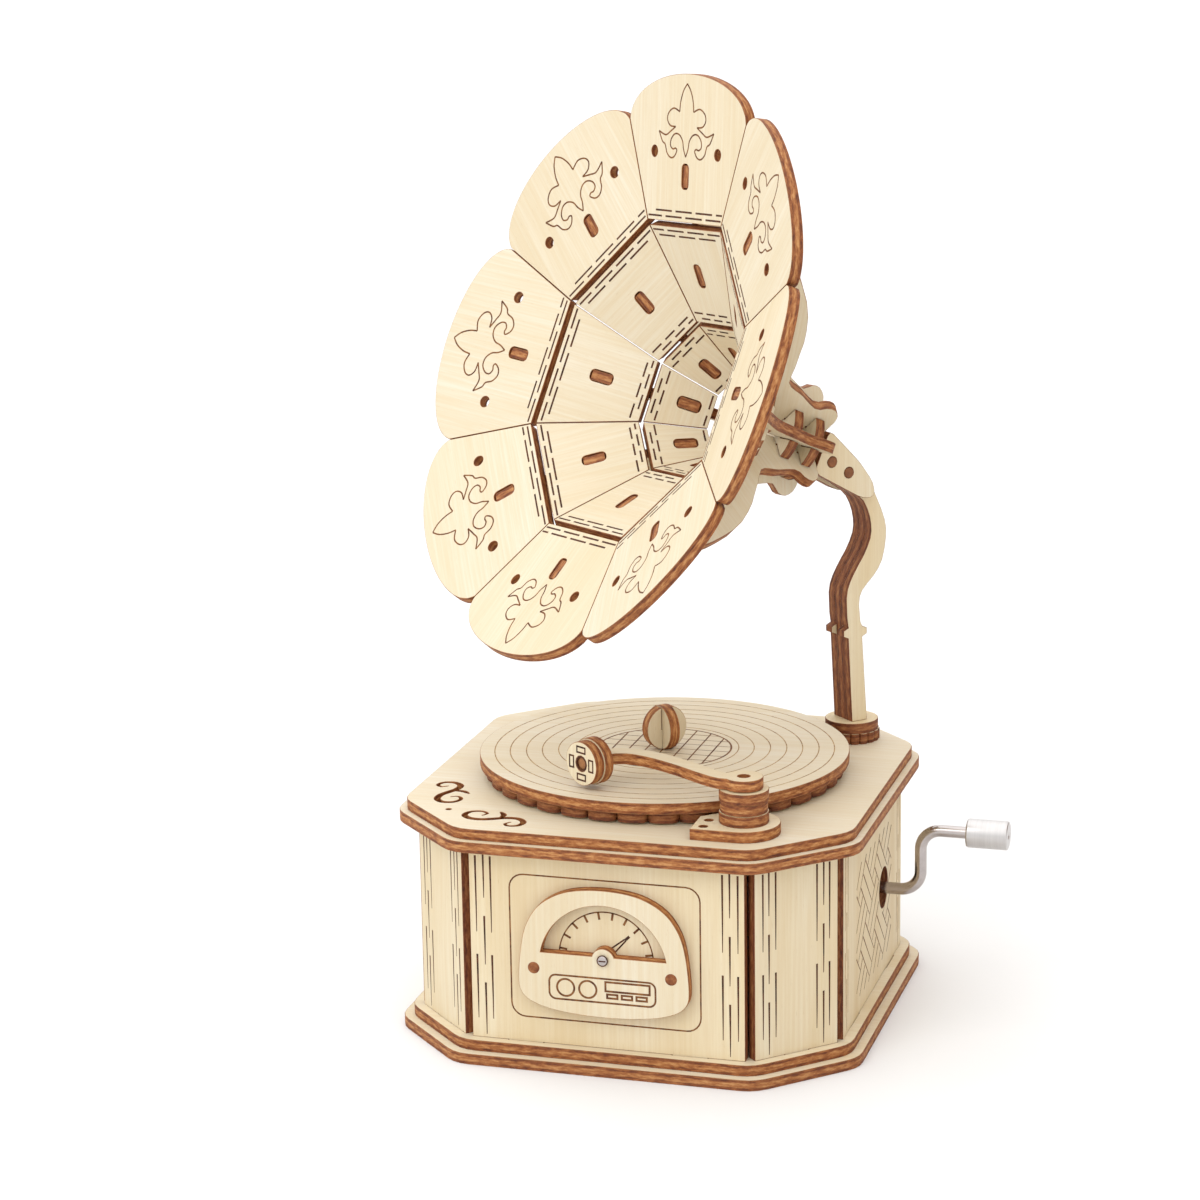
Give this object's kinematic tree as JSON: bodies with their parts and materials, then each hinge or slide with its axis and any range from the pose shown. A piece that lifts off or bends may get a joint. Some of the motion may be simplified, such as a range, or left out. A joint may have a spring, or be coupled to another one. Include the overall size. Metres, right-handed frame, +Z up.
{
  "type": "hand crank music box",
  "caption": "Hand crank music box shaped like a small horn gramophone, in laser-cut plywood with a steel crank, a turntable and a swinging tonearm.",
  "frame": {"origin": "centre of the base's underside", "axes": "+Z up, +X towards the crank, -Y towards the dial"},
  "size_m": [0.1388, 0.1156, 0.2105],
  "materials": {
    "plywood": "matte",
    "steel": "polished",
    "cast_metal": "satin",
    "brass": "satin"
  },
  "bodies": {
    "case": {"base_plate_lower": "plywood", "base_plate_upper": "plywood", "top_plate_lower": "plywood", "top_plate_upper": "plywood", "front_panel": "plywood", "corner_panel_front_right": "plywood", "right_panel": "plywood", "corner_panel_back_right": "plywood", "back_panel": "plywood", "corner_panel_back_left": "plywood", "left_panel": "plywood", "corner_panel_front_left": "plywood", "dial_bezel": "plywood", "dial_screw": "steel", "tonearm_base": "plywood", "tonearm_post": "plywood", "tonearm_pin": "plywood", "column_foot_lower": "plywood", "column_foot_upper": "plywood", "column_core": "plywood", "column_side_near": "plywood", "column_side_far": "plywood", "column_cheek_near": "plywood", "column_cheek_far": "plywood", "column_peg_upper": "plywood", "column_peg_lower": "plywood", "horn_petal_1": "plywood", "horn_petal_2": "plywood", "horn_petal_3": "plywood", "horn_petal_4": "plywood", "horn_petal_5": "plywood", "horn_petal_6": "plywood", "horn_petal_7": "plywood", "horn_petal_8": "plywood", "horn_rib_1": "plywood", "horn_rib_2": "plywood", "horn_rib_3": "plywood", "horn_rib_4": "plywood", "horn_rib_5": "plywood", "horn_rib_6": "plywood", "horn_rib_7": "plywood", "horn_rib_8": "plywood", "horn_middle_ring": "plywood", "horn_inner_ring": "plywood", "horn_hub_front": "plywood", "horn_hub_rear": "plywood", "movement_frame": "cast_metal", "comb": "steel"},
    "turntable": {"scalloped_disc": "plywood", "record_disc": "plywood", "turntable_spindle": "plywood", "knob_disc_a": "plywood", "knob_disc_b": "plywood"},
    "tonearm": {"tonearm": "plywood", "sound_box_front": "plywood", "sound_box_back": "plywood"},
    "crank": {"crank": "steel"},
    "crank_handle": {"crank_knob": "steel"},
    "cylinder": {"pinned_cylinder": "brass"}
  },
  "joints": [
    {"name": "crank_spin", "type": "hinge", "parent": "case", "child": "crank", "pos_m": [0.0571, 0.0115, 0.0257], "axis": [1, 0, 0], "continuous": true},
    {"name": "handle_spin", "type": "hinge", "parent": "crank", "child": "crank_handle", "pos_m": [0.072, 0.0115, 0.0403], "axis": [1, 0, 0], "continuous": true},
    {"name": "cylinder_spin", "type": "hinge", "parent": "case", "child": "cylinder", "pos_m": [0.024, 0, 0.0169], "axis": [0, 1, 0], "continuous": true},
    {"name": "turntable_spin", "type": "hinge", "parent": "case", "child": "turntable", "pos_m": [0, 0, 0.05665], "axis": [0, 0, 1], "continuous": true},
    {"name": "tonearm_swing", "type": "hinge", "parent": "case", "child": "tonearm", "pos_m": [0.0285, -0.0395, 0.0651], "axis": [0, 0, 1], "range_deg": [-35, 45]}
  ],
  "couplings": [
    {"joint": "cylinder_spin", "follows": "crank_spin", "ratio": -0.0625}
  ]
}
